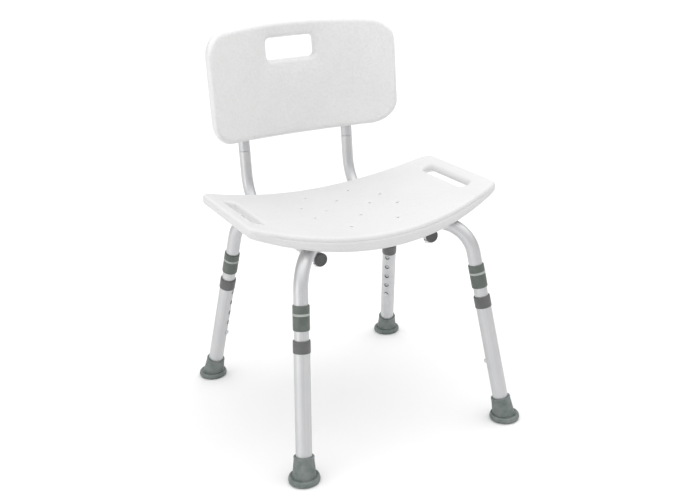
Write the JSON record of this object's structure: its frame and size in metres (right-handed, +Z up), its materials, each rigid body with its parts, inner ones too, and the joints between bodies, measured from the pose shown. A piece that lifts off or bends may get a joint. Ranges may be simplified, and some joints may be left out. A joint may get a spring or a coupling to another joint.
{
  "type": "shower chair",
  "caption": "Shower chair: dished seat with hand slots on splayed tube legs that telescope on sprung buttons, with a curved lift-off backrest.",
  "frame": {"origin": "on the floor at the centre of the four feet", "axes": "+Z up, +Y towards the backrest, +X to the right of a viewer who faces the front edge of the seat"},
  "size_m": [0.496, 0.5148, 0.7191],
  "materials": {
    "white_plastic": "fine pebbled blow-moulded polyethylene, satin white",
    "satin_aluminium": "satin anodised tube",
    "collar_plastic": "dark grey-green moulded collar",
    "ring_plastic": "dark grey moulded ring",
    "light_plastic": "pale translucent-looking spacer",
    "grey_rubber": "grey-green non-slip rubber",
    "cap_plastic": "dark grey end cap",
    "bright_steel": "plated steel",
    "spring_steel": "bare spring steel",
    "brass_insert": "turned brass"
  },
  "bodies": {
    "frame": {"seat": "white_plastic", "arm_front_left": "satin_aluminium", "arm_front_right": "satin_aluminium", "arm_rear_left": "satin_aluminium", "arm_rear_right": "satin_aluminium", "arm_plugs": "cap_plastic", "upper_collars": "collar_plastic", "spacer_rings": "light_plastic", "lower_collars": "collar_plastic", "joint_spigots": "satin_aluminium", "leg_post_front_left": "satin_aluminium", "leg_post_front_right": "satin_aluminium", "leg_post_rear_left": "satin_aluminium", "leg_post_rear_right": "satin_aluminium", "snap_spring_front_left": "spring_steel", "snap_spring_front_right": "spring_steel", "snap_spring_rear_left": "spring_steel", "snap_spring_rear_right": "spring_steel", "back_tube_left": "satin_aluminium", "back_tube_right": "satin_aluminium", "back_tube_caps": "cap_plastic", "back_spigots": "satin_aluminium", "back_springs": "spring_steel", "seat_bolts": "bright_steel", "seat_washers": "bright_steel", "seat_inserts": "brass_insert"},
    "leg_front_left": {"leg_tube_front_left": "satin_aluminium", "leg_ring_front_left": "ring_plastic", "foot_tip_front_left": "grey_rubber", "foot_washer_front_left": "bright_steel"},
    "leg_front_right": {"leg_tube_front_right": "satin_aluminium", "leg_ring_front_right": "ring_plastic", "foot_tip_front_right": "grey_rubber", "foot_washer_front_right": "bright_steel"},
    "leg_rear_left": {"leg_tube_rear_left": "satin_aluminium", "leg_ring_rear_left": "ring_plastic", "foot_tip_rear_left": "grey_rubber", "foot_washer_rear_left": "bright_steel"},
    "leg_rear_right": {"leg_tube_rear_right": "satin_aluminium", "leg_ring_rear_right": "ring_plastic", "foot_tip_rear_right": "grey_rubber", "foot_washer_rear_right": "bright_steel"},
    "button_front_left": {"snap_button_front_left": "bright_steel"},
    "button_front_right": {"snap_button_front_right": "bright_steel"},
    "button_rear_left": {"snap_button_rear_left": "bright_steel"},
    "button_rear_right": {"snap_button_rear_right": "bright_steel"},
    "back": {"backrest": "white_plastic", "back_post_left": "satin_aluminium", "back_post_right": "satin_aluminium", "back_post_caps": "cap_plastic", "backrest_bolts": "bright_steel", "backrest_washers": "bright_steel", "backrest_inserts": "brass_insert"},
    "lock_left": {"back_button_left": "bright_steel"},
    "lock_right": {"back_button_right": "bright_steel"}
  },
  "joints": [
    {"name": "leg_slide_front_left", "type": "slide", "parent": "frame", "child": "leg_front_left", "axis": [-0.1097, -0.1698, -0.9794], "range_m": [0, 0.1016], "deforming": ["snap_button_front_left"]},
    {"name": "leg_slide_front_right", "type": "slide", "parent": "frame", "child": "leg_front_right", "axis": [0.1097, -0.1698, -0.9794], "range_m": [0, 0.1016], "deforming": ["snap_button_front_right"]},
    {"name": "leg_slide_rear_left", "type": "slide", "parent": "frame", "child": "leg_rear_left", "axis": [-0.1069, 0.2793, -0.9542], "range_m": [0, 0.1016], "deforming": ["snap_button_rear_left"]},
    {"name": "leg_slide_rear_right", "type": "slide", "parent": "frame", "child": "leg_rear_right", "axis": [0.1069, 0.2793, -0.9542], "range_m": [0, 0.1016], "deforming": ["snap_button_rear_right"]},
    {"name": "button_press_front_left", "type": "slide", "parent": "frame", "child": "button_front_left", "axis": [-0.6992, -0.6871, 0.1974], "range_m": [0, 0.0053], "stiffness_N_per_m": 1000, "springref_m": -0.002, "deforming": ["snap_spring_front_left"]},
    {"name": "button_press_front_right", "type": "slide", "parent": "frame", "child": "button_front_right", "axis": [0.6992, -0.6871, 0.1974], "range_m": [0, 0.0053], "stiffness_N_per_m": 1000, "springref_m": -0.002, "deforming": ["snap_spring_front_right"]},
    {"name": "button_press_rear_left", "type": "slide", "parent": "frame", "child": "button_rear_left", "axis": [-0.7047, 0.6558, 0.2708], "range_m": [0, 0.0053], "stiffness_N_per_m": 1000, "springref_m": -0.002, "deforming": ["snap_spring_rear_left"]},
    {"name": "button_press_rear_right", "type": "slide", "parent": "frame", "child": "button_rear_right", "axis": [0.7047, 0.6558, 0.2708], "range_m": [0, 0.0053], "stiffness_N_per_m": 1000, "springref_m": -0.002, "deforming": ["snap_spring_rear_right"]},
    {"name": "backrest_lift", "type": "slide", "parent": "frame", "child": "back", "axis": [0, 0.0581, 0.9983], "range_m": [0, 0.05], "deforming": ["back_button_left", "back_button_right"]},
    {"name": "lock_press_left", "type": "slide", "parent": "frame", "child": "lock_left", "axis": [0, -0.9983, 0.0581], "range_m": [0, 0.0042], "stiffness_N_per_m": 1000, "springref_m": -0.002, "deforming": ["back_springs"]},
    {"name": "lock_press_right", "type": "slide", "parent": "frame", "child": "lock_right", "axis": [0, -0.9983, 0.0581], "range_m": [0, 0.0042], "stiffness_N_per_m": 1000, "springref_m": -0.002, "deforming": ["back_springs"]}
  ]
}
